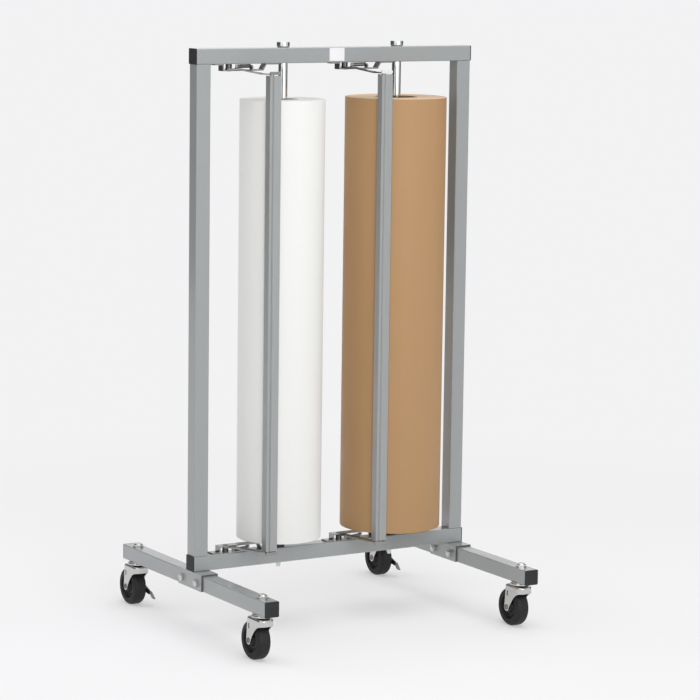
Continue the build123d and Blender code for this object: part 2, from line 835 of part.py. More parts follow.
def least_gap(wire):
    """Least clear distance between parts of one wire that are not neighbours along it, on points."""
    spots = []
    travel = 0
    for edge in wire.edges():
        for step in range(wire_samples):
            share = step / wire_samples
            spots.append((travel + share * edge.length, edge @ share))
        travel += edge.length
    apart = math.pi * spring_radius
    distances = [
        (one - other).length
        for way, one in spots
        for later, other in spots
        if later - way > apart
    ]
    return min(distances) - spring_wire


# Cutters: brackets and studs on the rails, a swinging pair of arms with its bar, and the springs
studs = []
for side, (x, diameter, core_bore) in rolls.items():
    posts = []
    springs = []
    screws = []
    for level, (face, inward, bar_gap) in levels.items():
        save(bracket(x, face, inward), f"{side}_{level}_bracket")
        save(arm(x, diameter, face, inward, bar_gap), f"{side}_{level}_arm")
        studs.append(stud_pin(x, face, inward))
        posts.append(spring_post(x, diameter, face, inward))
        screws.append(shoulder_screw(x, diameter, face, inward, bar_gap))
        wound, wire = spring(x, diameter, face, inward)
        springs.append(wound)
        print(f"{side} {level} spring: least gap to itself {least_gap(wire):.2f} mm")
    save(Compound(posts), f"{side}_spring_posts")
    save(Compound(springs), f"{side}_springs")
    save(Compound(screws), f"{side}_tip_screws")
    bar_base = lower_face + lower_bar_gap
    bar_top = upper_face - upper_bar_gap
    section = [
        (0, bar_flange),
        (0, 0),
        (groove_middle - groove_width / 2, 0),
        (groove_middle, groove_depth),
        (groove_middle + groove_width / 2, 0),
        (bar_web, 0),
        (edge_u, edge_v),
    ]
    outline = [(u - screw_u, v - screw_v) for u, v in strip_outline(section, bar_sheet)]
    with BuildPart() as bar:
        with BuildSketch(tip_plane(x, diameter, bar_base, 0)):
            with BuildLine():
                Polyline(*outline, close=True)
            make_face()
            RegularPolygon(screw_port_diameter / 2, stem_facets)
            Circle(tip_screw / 2 + run_gap, mode=Mode.SUBTRACT)
        extrude(amount=bar_top - bar_base)
    save(bar.part, f"{side}_cutter_bar")
save(Compound(studs), "pivot_studs")
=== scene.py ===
# %% [markdown]
# A steel rack on casters holds two paper rolls upright, and each roll has a sprung cutter bar.
# The solids and the joints come packed, as a fixed frame. This lesson dresses that frame:
# it finds the camera, builds the stage, mixes the finishes and makes the pieces that need
# more roundness or finer detail than the solids carry.

# %% Load the frame
import json
import math

import bmesh
import bpy
from mathutils import Matrix, Vector


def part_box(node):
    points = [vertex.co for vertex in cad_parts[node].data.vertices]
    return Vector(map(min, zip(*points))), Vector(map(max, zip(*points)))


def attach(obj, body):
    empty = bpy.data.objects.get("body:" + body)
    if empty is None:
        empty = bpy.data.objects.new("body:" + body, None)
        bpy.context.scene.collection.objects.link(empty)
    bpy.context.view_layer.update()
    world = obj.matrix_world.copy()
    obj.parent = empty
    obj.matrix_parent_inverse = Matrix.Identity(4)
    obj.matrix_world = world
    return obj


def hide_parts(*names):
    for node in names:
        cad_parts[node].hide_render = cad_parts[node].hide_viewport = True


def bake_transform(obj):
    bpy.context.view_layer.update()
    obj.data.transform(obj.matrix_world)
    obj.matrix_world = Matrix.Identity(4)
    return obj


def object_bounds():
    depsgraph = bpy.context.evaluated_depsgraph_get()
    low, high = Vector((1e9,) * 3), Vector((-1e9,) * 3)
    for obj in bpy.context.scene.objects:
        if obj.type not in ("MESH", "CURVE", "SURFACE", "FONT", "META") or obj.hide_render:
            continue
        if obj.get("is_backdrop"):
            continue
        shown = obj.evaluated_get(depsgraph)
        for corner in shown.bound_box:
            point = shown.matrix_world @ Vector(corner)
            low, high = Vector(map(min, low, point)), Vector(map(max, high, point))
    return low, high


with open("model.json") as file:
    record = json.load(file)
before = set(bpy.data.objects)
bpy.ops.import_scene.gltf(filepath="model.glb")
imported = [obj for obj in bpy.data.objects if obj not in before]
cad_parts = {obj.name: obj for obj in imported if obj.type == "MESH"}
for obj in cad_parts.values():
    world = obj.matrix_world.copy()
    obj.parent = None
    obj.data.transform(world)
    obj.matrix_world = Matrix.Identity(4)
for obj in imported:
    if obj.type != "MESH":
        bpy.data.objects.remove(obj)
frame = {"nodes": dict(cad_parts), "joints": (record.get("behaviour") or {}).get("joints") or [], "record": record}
cad_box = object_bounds()
nodes = frame["nodes"]
joints = {joint["name"]: joint for joint in frame["joints"]}
scene = bpy.context.scene
mm = 0.001
print("frame:", len(nodes), "nodes,", len(joints), "joints, height", round(cad_box[1].z, 4), "m")

# %% [markdown]
# The picture was taken from the front left, a little above the rolls, with a long lens.
# A camera can be turned by hand until the edges meet, but here the tube's corners gave its
# place and angles directly, so the values are set and the picture's frame follows.

# %% Camera
picture_side = 700
focal_length_in_pixels = 2925.0
yaw, pitch, tilt = 0.5412, 0.1443, 0.0132
camera_place = Vector((-3.0938, -5.2417, 1.4558))

forward = Vector((
    math.sin(yaw) * math.cos(pitch), math.cos(yaw) * math.cos(pitch), -math.sin(pitch),
))
level = Vector((math.cos(yaw), -math.sin(yaw), 0))
above = level.cross(forward)
right = level * math.cos(tilt) + above * math.sin(tilt)
up = above * math.cos(tilt) - level * math.sin(tilt)
camera_turn = Matrix((right, up, -forward)).transposed().to_4x4()

camera = bpy.data.objects.new("camera", bpy.data.cameras.new("camera"))
camera.data.sensor_width = 36.0
camera.data.lens = camera.data.sensor_width * focal_length_in_pixels / picture_side
camera.data.clip_end = 100.0
camera.matrix_world = Matrix.Translation(camera_place) @ camera_turn
scene.collection.objects.link(camera)
scene.camera = camera
scene.view_settings.view_transform = "Standard"
print("camera: lens", round(camera.data.lens, 1), "mm, at", [round(v, 3) for v in camera_place])

# %% [markdown]
# Materials are graphs of nodes. Small helpers keep the graphs readable: a node is added
# together with its inputs, and each input is a value or a link, written as a pair of a node
# and one of its outputs. Each group holds one effect, such as grain or a softened edge, and
# every finish places it with its own values.

# %% Node helpers
number, vector = "NodeSocketFloat", "NodeSocketVector"
noise_span = {"From Min": 0.3, "From Max": 0.7}


def is_link(value):
    """Whether a value is a pair of a node and one of its outputs."""
    return isinstance(value, tuple) and isinstance(value[0], bpy.types.Node)


def feed(node, inputs):
    """Set a node's inputs, each by a value or by a link."""
    for name, value in inputs.items():
        if is_link(value):
            source, output = value
            node.id_data.links.new(source.outputs[output], node.inputs[name])
        else:
            node.inputs[name].default_value = value


def add_node(tree, kind, inputs=None, **settings):
    """A shader node of this kind, with its properties and its inputs set."""
    node = tree.nodes.new(f"ShaderNode{kind}")
    for name, value in settings.items():
        setattr(node, name, value)
    feed(node, inputs or {})
    return node


def math_node(tree, operation, *values, kind="Math", **settings):
    """A node that works on numbers, given in the order of its inputs."""
    return add_node(tree, kind, dict(enumerate(values)), operation=operation, **settings)


def vector_node(tree, operation, *values):
    """A node that works on vectors, given in the order of its inputs."""
    return math_node(tree, operation, *values, kind="VectorMath")


def tint_mix(tree, share, *tints):
    """A node that mixes two tints by a share."""
    first, second = (tint if is_link(tint) else (*tint, 1.0) for tint in tints)
    return add_node(tree, "Mix", {"Factor": share, "A": first, "B": second}, data_type="RGBA")


def new_group(name, inputs, outputs):
    """An empty shader group with its sockets, and the nodes that stand for its two ends."""
    group = bpy.data.node_groups.new(name, "ShaderNodeTree")
    for label, kind, value in inputs:
        socket = group.interface.new_socket(label, in_out="INPUT", socket_type=kind)
        socket.default_value = value
    for label, kind in outputs:
        group.interface.new_socket(label, in_out="OUTPUT", socket_type=kind)
    return group, group.nodes.new("NodeGroupInput"), group.nodes.new("NodeGroupOutput")


def placed(tree, group, **values):
    """A group placed in a material's tree with its own values."""
    return add_node(tree, "Group", values, node_tree=group)


def new_material(name, plain):
    """A fresh material, its tree and its shader, with the shader's plain numbers set."""
    material = bpy.data.materials.new(name)
    material.use_nodes = True
    shader = material.node_tree.nodes["Principled BSDF"]
    feed(shader, plain)
    return material, material.node_tree, shader


print("node helpers ready")

# %% [markdown]
# Paint, plating and moulded plastic all have a fine grain that breaks up a highlight.
# One noise, read in the piece's own coordinates so that it stays put when the piece moves,
# gives a mask for the tint and a height for the bump.

# %% Grain group
grain, grain_in, grain_out = new_group(
    "fine grain",
    [("Scale", number, 900.0), ("Stretch", vector, (1.0, 1.0, 1.0))],
    [("Mask", number), ("Height", number)],
)
grain_place = add_node(grain, "TexCoord")
stretched = vector_node(grain, "MULTIPLY", (grain_place, "Object"), (grain_in, "Stretch"))
speckle = add_node(grain, "TexNoise", {
    "Vector": (stretched, "Vector"), "Scale": (grain_in, "Scale"),
    "Detail": 3.0, "Roughness": 0.6,
})
grain_mask = add_node(grain, "MapRange", {"Value": (speckle, "Fac"), **noise_span})
feed(grain_out, {"Mask": (grain_mask, "Result"), "Height": (speckle, "Fac")})
print("group:", grain.name)

# %% [markdown]
# Handled metal is never evenly shiny. A slow noise stands for the film of dust and
# fingermarks, and shifts the roughness between two values.

# %% Handling group
handling, handling_in, handling_out = new_group(
    "handling marks",
    [("Scale", number, 9.0), ("Low", number, 0.35), ("High", number, 0.5)],
    [("Roughness", number)],
)
handling_place = add_node(handling, "TexCoord")
cloud = add_node(handling, "TexNoise", {
    "Vector": (handling_place, "Object"), "Scale": (handling_in, "Scale"),
    "Detail": 4.0, "Roughness": 0.55, "Distortion": 0.4,
})
shine_level = add_node(handling, "MapRange", {
    "Value": (cloud, "Fac"), "From Min": 0.32, "From Max": 0.68,
    "To Min": (handling_in, "Low"), "To Max": (handling_in, "High"),
})
feed(handling_out, {"Roughness": (shine_level, "Result")})
print("group:", handling.name)

# %% [markdown]
# No pressed or sawn edge is perfectly sharp. The Bevel node rounds the shading of an edge
# without touching the solid, and where its normal leaves the true one there is an edge,
# which is where paint thins and plating rubs bright.

# %% Edge group
edges, edges_in, edges_out = new_group(
    "softened edge",
    [("Radius", number, 0.0008), ("Wear", number, 0.4), ("Grain", number, 0.5)],
    [("Mask", number), ("Normal", vector)],
)
rounded = add_node(edges, "Bevel", {"Radius": (edges_in, "Radius")}, samples=4)
true_shape = add_node(edges, "NewGeometry")
meeting = vector_node(edges, "DOT_PRODUCT", (rounded, "Normal"), (true_shape, "Normal"))
bend = add_node(edges, "MapRange", {
    "Value": (meeting, "Value"), "From Min": 0.995, "From Max": 0.85,
})
broken = math_node(edges, "MULTIPLY", (bend, "Result"), (edges_in, "Grain"))
worn = math_node(edges, "MULTIPLY", (broken, "Value"), (edges_in, "Wear"), use_clamp=True)
feed(edges_out, {"Mask": (worn, "Value"), "Normal": (rounded, "Normal")})
print("group:", edges.name)

# %% [markdown]
# Most finishes of the rack are the same idea with other values: a main tint, a second tint
# in the grain, a worn tint on the edges, a range of roughness and a bump. One function
# builds that graph, and the shader's plain numbers stay on its own sockets.

# %% Finish builder
coat_roughness = 0.14
grain_share = 0.35
grain_depth = 0.2 * mm


def finish(name, tint, grain_tint, worn_tint, shine, grain_scale, bump, metallic=1.0,
           stretch=(1.0, 1.0, 1.0), edge=0.0008, wear=0.4, specular=0.5, coat=0.0):
    """A procedural finish of grain, handling marks and softened edges."""
    material, tree, shader = new_material(name, {
        "Metallic": metallic, "Specular IOR Level": specular,
        "Coat Weight": coat, "Coat Roughness": coat_roughness,
    })
    speckles = placed(tree, grain, Scale=grain_scale, Stretch=stretch)
    marks = placed(tree, handling, Low=shine[0], High=shine[1])
    softened = placed(tree, edges, Radius=edge, Wear=wear, Grain=(speckles, "Mask"))
    share = math_node(tree, "MULTIPLY", (speckles, "Mask"), grain_share)
    speckled = tint_mix(tree, (share, "Value"), tint, grain_tint)
    rubbed = tint_mix(tree, (softened, "Mask"), (speckled, "Result"), worn_tint)
    relief = add_node(tree, "Bump", {
        "Strength": bump, "Distance": grain_depth,
        "Height": (speckles, "Height"), "Normal": (softened, "Normal"),
    })
    feed(shader, {
        "Base Color": (rubbed, "Result"), "Roughness": (marks, "Roughness"),
        "Normal": (relief, "Normal"),
    })
    return material


print("finish builder ready")

# %% [markdown]
# The frame is sprayed silver-grey, a satin paint with a little metal in it. A darker
# finish on the saddles' end faces is painted shade for the shadowed line at their edges.
# The plated steel of the brackets, forks and fasteners is brighter and smoother, the caps and
# wheels are dark and dull, and the rods are drawn bar with a grain that runs around them.

# %% Metal, plastic and rubber finishes
finishes = {
    "grey_paint": finish(
        "silver grey paint",
        (0.305, 0.320, 0.322), (0.355, 0.370, 0.372), (0.45, 0.465, 0.467),
        metallic=0.3, shine=(0.36, 0.48), grain_scale=1400.0, bump=0.10, edge=0.0012, coat=0.9,
    ),
    "black_cap": finish(
        "moulded cap", (0.020, 0.019, 0.020), (0.032, 0.031, 0.031), (0.06, 0.06, 0.06),
        metallic=0.0, shine=(0.46, 0.60), grain_scale=1800.0, bump=0.25, wear=0.3, specular=0.3,
    ),
    "bar_metal": finish(
        "cutter bar", (0.34, 0.35, 0.35), (0.42, 0.43, 0.43), (0.58, 0.58, 0.57),
        metallic=0.45, shine=(0.30, 0.42), grain_scale=700.0, bump=0.08,
        stretch=(1.0, 1.0, 0.02), edge=0.0005,
    ),
    "plated_steel": finish(
        "plated strip", (0.29, 0.29, 0.285), (0.40, 0.40, 0.39), (0.66, 0.66, 0.64),
        shine=(0.16, 0.30), grain_scale=500.0, bump=0.10, edge=0.0005,
    ),
    "lever_steel": finish(
        "lever pressing", (0.22, 0.22, 0.215), (0.30, 0.30, 0.295), (0.55, 0.55, 0.54),
        shine=(0.24, 0.38), grain_scale=420.0, bump=0.08, edge=0.0006,
    ),
    "spring_wire": finish(
        "spring wire", (0.10, 0.10, 0.10), (0.16, 0.16, 0.155), (0.34, 0.34, 0.33),
        shine=(0.26, 0.40), grain_scale=900.0, bump=0.05, edge=0.0002,
    ),
    # Dark finish for the saddles' end faces: painted shade for the shadowed line at their edges.
    "painted_shade_edge": finish(
        "painted shade edge", (0.095, 0.096, 0.096), (0.135, 0.136, 0.136), (0.22, 0.22, 0.215),
        metallic=0.2, shine=(0.45, 0.60), grain_scale=700.0, bump=0.2, edge=0.0003, specular=0.3,
    ),
    "zinc_fastener": finish(
        "zinc fastener", (0.60, 0.60, 0.58), (0.70, 0.69, 0.67), (0.82, 0.82, 0.80),
        shine=(0.20, 0.34), grain_scale=900.0, bump=0.08, edge=0.0004,
    ),
    "caster_plate": finish(
        "bright zinc pressing", (0.56, 0.56, 0.545), (0.68, 0.68, 0.66), (0.88, 0.88, 0.86),
        shine=(0.15, 0.27), grain_scale=420.0, bump=0.08, edge=0.0009,
    ),
    "wheel_rubber": finish(
        "wheel rubber", (0.011, 0.011, 0.0115), (0.020, 0.0195, 0.020), (0.045, 0.045, 0.045),
        metallic=0.0, shine=(0.42, 0.58), grain_scale=1200.0, bump=0.2, wear=0.5, specular=0.3,
    ),
    "rod_steel": finish(
        "drawn rod", (0.62, 0.64, 0.64), (0.68, 0.70, 0.70), (0.80, 0.80, 0.79),
        shine=(0.08, 0.16), grain_scale=900.0, bump=0.04,
        stretch=(0.1, 0.1, 1.0), edge=0.0006,
    ),
    "seat_plastic": finish(
        "seat plastic", (0.040, 0.040, 0.042), (0.060, 0.060, 0.062), (0.10, 0.10, 0.10),
        metallic=0.0, shine=(0.40, 0.55), grain_scale=1500.0, bump=0.2, specular=0.4,
    ),
}
print("finishes:", ", ".join(finishes))

# %% [markdown]
# Paper on a roll shows three things: fibres over the whole sheet, faint bands where the
# winding was tighter, and on the ends the rings of its layers. One group gives a mask for
# each of them. The rings follow the distance from the roll's own axis.

# %% Paper group
winding, winding_in, winding_out = new_group(
    "wound paper",
    [("Layers", number, 60.0), ("Fibre scale", number, 260.0)],
    [("Fibre", number), ("Rings", number), ("Bands", number)],
)
winding_place = add_node(winding, "TexCoord")
whole_roll, own_place = (winding_place, "Generated"), (winding_place, "Object")
from_axis = vector_node(winding, "SUBTRACT", whole_roll, (0.5, 0.5, 0.0))
flattened = vector_node(winding, "MULTIPLY", (from_axis, "Vector"), (1.0, 1.0, 0.0))
distance = vector_node(winding, "LENGTH", (flattened, "Vector"))
layer_count = math_node(winding, "MULTIPLY", (distance, "Value"), (winding_in, "Layers"))
ring_noise = add_node(winding, "TexNoise", {
    "W": (layer_count, "Value"), "Scale": 1.0, "Detail": 3.0,
}, noise_dimensions="1D")
rings_mask = add_node(winding, "MapRange", {
    "Value": (ring_noise, "Fac"), **noise_span, "To Min": 0.45,
})
fibre_stretch = vector_node(winding, "MULTIPLY", own_place, (1.0, 1.0, 3.0))
fibre_noise = add_node(winding, "TexNoise", {
    "Vector": (fibre_stretch, "Vector"), "Scale": (winding_in, "Fibre scale"),
    "Detail": 5.0, "Roughness": 0.7, "Distortion": 0.8,
})
fibre_mask = add_node(winding, "MapRange", {"Value": (fibre_noise, "Fac"), **noise_span})
band_stretch = vector_node(winding, "MULTIPLY", own_place, (22.0, 22.0, 0.6))
band_noise = add_node(winding, "TexNoise", {
    "Vector": (band_stretch, "Vector"), "Scale": 1.0, "Detail": 2.0,
})
band_mask = add_node(winding, "MapRange", {"Value": (band_noise, "Fac"), **noise_span})
feed(winding_out, {
    "Fibre": (fibre_mask, "Result"), "Rings": (rings_mask, "Result"),
    "Bands": (band_mask, "Result"),
})
print("group:", winding.name)

# %% [markdown]
# One roll is white paper and one is brown kraft, and both are wound on board tubes. All four
# are the same graph: the sheet's tint is broken by fibres and bands, and where a face looks
# up or down, it is the end of the roll and takes the tint of cut edges along its rings.

# %% Paper builder
paper_specular = 0.3
paper_marks_scale = 14.0
fibre_amount, band_amount = 0.5, 0.6
end_slope = {"From Min": 0.6, "From Max": 0.9}
paper_depth = 0.3 * mm


def paper(name, sheet, fibre, band, end_tint, layers, roughness, bump):
    """Wound paper: fibres and bands on the sheet, and the rings of its layers on the ends."""
    material, tree, shader = new_material(name, {"Specular IOR Level": paper_specular})
    wound = placed(tree, winding, Layers=layers)
    low, high = roughness
    marks = placed(tree, handling, Scale=paper_marks_scale, Low=low, High=high)
    fibre_share = math_node(tree, "MULTIPLY", (wound, "Fibre"), fibre_amount)
    fibred = tint_mix(tree, (fibre_share, "Value"), sheet, fibre)
    band_share = math_node(tree, "MULTIPLY", (wound, "Bands"), band_amount)
    banded = tint_mix(tree, (band_share, "Value"), (fibred, "Result"), band)
    shape = add_node(tree, "NewGeometry")
    parts = add_node(tree, "SeparateXYZ", {"Vector": (shape, "True Normal")})
    upward = math_node(tree, "ABSOLUTE", (parts, "Z"))
    on_end = add_node(tree, "MapRange", {"Value": (upward, "Value"), **end_slope})
    ringed = math_node(tree, "MULTIPLY", (on_end, "Result"), (wound, "Rings"))
    ended = tint_mix(tree, (ringed, "Value"), (banded, "Result"), end_tint)
    height = math_node(tree, "ADD", (wound, "Fibre"), (ringed, "Value"))
    relief = add_node(tree, "Bump", {
        "Strength": bump, "Distance": paper_depth, "Height": (height, "Value"),
    })
    feed(shader, {
        "Base Color": (ended, "Result"), "Roughness": (marks, "Roughness"),
        "Normal": (relief, "Normal"),
    })
    return material


print("paper builder ready")

# %% Paper finishes
finishes["white_paper"] = paper(
    "white paper",
    (0.83, 0.83, 0.81), (0.79, 0.79, 0.77), (0.80, 0.80, 0.78), (0.73, 0.73, 0.71),
    layers=70.0, roughness=(0.55, 0.7), bump=0.15,
)
finishes["kraft_paper"] = paper(
    "brown paper",
    (0.455, 0.275, 0.135), (0.39, 0.225, 0.105), (0.42, 0.25, 0.115), (0.74, 0.56, 0.38),
    layers=85.0, roughness=(0.5, 0.66), bump=0.25,
)
finishes["core_board"] = paper(
    "core board",
    (0.36, 0.24, 0.13), (0.30, 0.195, 0.10), (0.33, 0.22, 0.12), (0.24, 0.15, 0.08),
    layers=30.0, roughness=(0.6, 0.75), bump=0.3,
)
finishes["pale_board"] = paper(
    "pale core board",
    (0.60, 0.58, 0.55), (0.54, 0.52, 0.49), (0.57, 0.55, 0.52), (0.42, 0.40, 0.38),
    layers=24.0, roughness=(0.6, 0.75), bump=0.3,
)
print("paper finishes: white, brown and two core boards")

# %% [markdown]
# Every solid wears the finish of its slot. A few pieces differ from the others in their slot:
# the brake levers are dull pressings and the pivot studs are dark. The faces at the two ends
# of each saddle get a dark second material, painted shade for the shadowed line at its edges.

# %% Dress every solid
own_finish = {
    "rear_left_brake_lever": "lever_steel",
    "rear_right_brake_lever": "lever_steel",
    "pivot_studs": "spring_wire",
}
facing_end = 0.9
for part in frame["record"]["subparts"]:
    solid = nodes[part["node"]].data
    solid.materials.clear()
    solid.materials.append(finishes[own_finish.get(part["node"], part["material_slot"])])
# The saddles' end faces take the dark edge finish, which is painted shade.
for saddle in ("left_saddle", "right_saddle"):
    solid = nodes[saddle].data
    solid.materials.append(finishes["painted_shade_edge"])
    for face in solid.polygons:
        if abs(face.normal.y) > facing_end:
            face.material_index = 1

# %% [markdown]
# The rack stands in an even white room. What lights it is a plain white, and what the camera
# and the reflections see is a backdrop of its own, so the two can be set apart. In
# reflections the room has a dark flag on either side, as in a studio, and these give round
# bars their dark edges beside a bright middle.

# %% Room
backdrop, flag_tone = (0.89, 0.89, 0.90), (0.10, 0.10, 0.10)
room_strength = 0.5
flags = (((-0.8, 0.6, 0.0), 0.35, 0.85), ((1.0, 0.1, 0.0), 0.66, 0.95))


def seen_directly(tree):
    """A link that is one for rays of the camera, reflections and glass, and zero for light."""
    path = add_node(tree, "LightPath")
    first = math_node(tree, "MAXIMUM", (path, "Is Camera Ray"), (path, "Is Glossy Ray"))
    second = math_node(tree, "MAXIMUM", (first, "Value"), (path, "Is Transmission Ray"))
    return second, "Value"


world = bpy.data.worlds.new("studio")
scene.world = world
world.use_nodes = True
sky = world.node_tree
room = sky.nodes["Background"]
feed(room, {"Color": (1.0, 1.0, 1.0, 1.0), "Strength": room_strength})
way = add_node(sky, "TexCoord")
covers = []
for direction, start, full in flags:
    towards = vector_node(sky, "DOT_PRODUCT", (way, "Generated"), direction)
    cover = add_node(sky, "MapRange", {
        "Value": (towards, "Value"), "From Min": start, "From Max": full,
    }, interpolation_type="SMOOTHSTEP")
    covers.append((cover, "Result"))
either = math_node(sky, "MAXIMUM", *covers)
bounce = add_node(sky, "LightPath")
covered = math_node(sky, "MULTIPLY", (either, "Value"), (bounce, "Is Glossy Ray"))
shaded = tint_mix(sky, (covered, "Value"), backdrop, flag_tone)
white = add_node(sky, "Background", {"Color": (shaded, "Result"), "Strength": 1.0})
choice = add_node(sky, "MixShader", {
    "Fac": seen_directly(sky), 1: (room, "Background"), 2: (white, "Background"),
})
feed(sky.nodes["World Output"], {"Surface": (choice, "Shader")})
print("room: white, with", len(flags), "dark flags in its reflections")

# %% [markdown]
# The floor is a wide white disc. Far out it shows as the flat white of the backdrop, and near
# the rack it keeps a soft shadow, so no edge of it is seen. The backdrop's share grows with
# the distance from the middle.

# %% Floor
floor_radius, floor_segments = 6.0, 96
backdrop_growth = {"From Min": 0.3, "From Max": 2.4, "To Min": 0.4, "To Max": 1.0}


def linked_piece(name, build, sharp=None):
    """An object from a mesh in the making, smooth up to an angle in degrees if one is given."""
    mesh = bpy.data.meshes.new(name)
    build.to_mesh(mesh)
    build.free()
    if sharp:
        mesh.shade_smooth()
        mesh.set_sharp_from_angle(angle=math.radians(sharp))
    piece = bpy.data.objects.new(name, mesh)
    scene.collection.objects.link(piece)
    return piece


disc = bmesh.new()
bmesh.ops.create_circle(disc, cap_ends=True, segments=floor_segments, radius=floor_radius)
floor = linked_piece("floor", disc)
floor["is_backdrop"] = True

matt = {"Roughness": 0.9, "Specular IOR Level": 0.0}
floor_finish, ground, floor_paper = new_material("studio floor", matt)
floor_place = add_node(ground, "TexCoord")
patch = add_node(ground, "TexNoise", {
    "Vector": (floor_place, "Object"), "Scale": 3.0, "Detail": 2.0,
})
tone = tint_mix(ground, (patch, "Fac"), (0.93, 0.93, 0.945), (0.95, 0.95, 0.965))
feed(floor_paper, {"Base Color": (tone, "Result")})
far = vector_node(ground, "LENGTH", (floor_place, "Object"))
backdrop_share = add_node(ground, "MapRange", {
    "Value": (far, "Value"), **backdrop_growth,
}, interpolation_type="SMOOTHSTEP")
seen = math_node(ground, "MULTIPLY", seen_directly(ground), (backdrop_share, "Result"))
glow = add_node(ground, "Emission", {"Color": (*backdrop, 1.0), "Strength": 1.0})
mixed = add_node(ground, "MixShader", {
    "Fac": (seen, "Value"), 1: (floor_paper, "BSDF"), 2: (glow, "Emission"),
})
feed(ground.nodes["Material Output"], {"Surface": (mixed, "Shader")})
floor.data.materials.append(floor_finish)
print("floor: a disc of radius", floor_radius, "m")

# %% [markdown]
# One large soft light in front and one above do most of the work. A weak fill, low at the
# left, opens the shadows, and a weak rim light from behind on the left draws the far edges.
# The rim light is hidden from the camera and from reflections, so it leaves no white square.

# %% Lights
def soft_light(name, place, aim, size, power):
    """A square soft light that looks at a point."""
    lamp = bpy.data.lights.new(name, "AREA")
    lamp.size, lamp.energy = size, power
    holder = bpy.data.objects.new(name, lamp)
    holder.location = place
    holder.rotation_euler = (Vector(aim) - Vector(place)).to_track_quat("-Z", "Y").to_euler()
    scene.collection.objects.link(holder)
    return holder


soft_light("key light", (-0.3, -4.8, 2.1), (0.0, 0.0, 0.5), 3.6, 90.0)
soft_light("top light", (0.1, -0.4, 4.2), (0.0, 0.0, 0.0), 3.6, 76.0)
soft_light("fill light", (-3.2, -1.8, 0.9), (0.0, 0.0, 0.3), 2.4, 8.0)
rim_light = soft_light("rim light", (-2.4, 2.8, 1.5), (0.0, 0.0, 0.6), 2.0, 26.0)
rim_light.visible_camera = rim_light.visible_glossy = False
print("lights: key, top, fill and rim")

# %% [markdown]
# Round pieces are turned on a lathe in the shop, and the mesh is made the same way: an
# outline of radii and heights is spun about an axis. The solids carry few facets, so the
# pieces that show a round edge are spun again here with more, in the same place.

# %% Lathe helpers
merge_distance = 1e-6


def circle(radius, height, steps):
    """Points of a circle round the Z axis, at a height."""
    turns = [2 * math.pi * step / steps for step in range(steps)]
    return [Vector((radius * math.cos(t), radius * math.sin(t), height)) for t in turns]


def bridge(build, low, high):
    """Add the faces between two closed loops of points."""
    for step in range(len(low)):
        after = (step + 1) % len(low)
        build.faces.new((low[step], low[after], high[after], high[step]))


def closed_up(build):
    """Merge the points that meet, and turn all faces outward."""
    bmesh.ops.remove_doubles(build, verts=build.verts, dist=merge_distance)
    bmesh.ops.recalc_face_normals(build, faces=build.faces)


def facing(spot, way):
    """Placement at a spot with its Z axis along a way."""
    return Matrix.Translation(spot) @ Vector(way).to_track_quat("Z", "Y").to_matrix().to_4x4()


def turned(name, outline, centre, axis=(0, 0, 1), segments=64, closed=False):
    """A piece spun from (radius, height) points about an axis through a centre."""
    build = bmesh.new()
    rings = [
        [build.verts.new(spot) for spot in circle(radius, height, segments)]
        for radius, height in outline
    ]
    pairs = list(zip(rings, rings[1:]))
    if closed:
        pairs.append((rings[-1], rings[0]))
    for low, high in pairs:
        bridge(build, low, high)
    closed_up(build)
    piece = linked_piece(name, build, sharp=32)
    piece.data.transform(facing(centre, axis))
    return piece


print("lathe ready")

# %% [markdown]
# A new piece takes its place from the solid that it stands for, so it needs no fitting by
# eye. It rides on the same body and hides that solid, which stays in the physics.

# %% Placing helpers
def middle_of(node):
    """Middle of a solid's box."""
    low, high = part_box(node)
    return (low + high) / 2


def under(node):
    """Point on the floor under the middle of a solid's box."""
    middle = middle_of(node)
    return Vector((middle.x, middle.y, 0.0))


def fit(piece, body, slot, *replaced, look=None):
    """Set a piece on its body with a look of its own or its slot's, in place of solids."""
    piece.data.materials.append(finishes[look or slot])
    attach(piece, body)
    if replaced:
        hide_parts(*replaced)


print("placing helpers ready")

# %% [markdown]
# The wheels are moulded: a broad tread with rounded shoulders, a rim, a dished side and a
# hub. The outline follows the solid's own sizes and only rounds what the mould would round.
# Half of it is listed in millimetres, with a radius for each inner corner, and mirrored.

# %% Wheels
def rounded_corner(before, corner, after, radius, steps=4):
    """Points of an arc-like rounding between two runs of an outline."""
    corner = Vector(corner)
    start = corner + (Vector(before) - corner).normalized() * radius
    end = corner + (Vector(after) - corner).normalized() * radius
    points = []
    for step in range(steps + 1):
        t = step / steps
        points.append(tuple(start * (1 - t) ** 2 + corner * 2 * t * (1 - t) + end * t**2))
    return points


def rounded_outline(points, radii):
    """An outline whose inner corners are rounded by the radii given for them."""
    outline = [points[0]]
    for before, corner, after, radius in zip(points, points[1:], points[2:], radii):
        if radius:
            outline += rounded_corner(before, corner, after, radius)
        else:
            outline.append(corner)
    return outline + [points[-1]]


def mirrored(half):
    """The other half of an outline, in the order that carries on from the first half."""
    return [(radius, -height) for radius, height in half[::-1]]


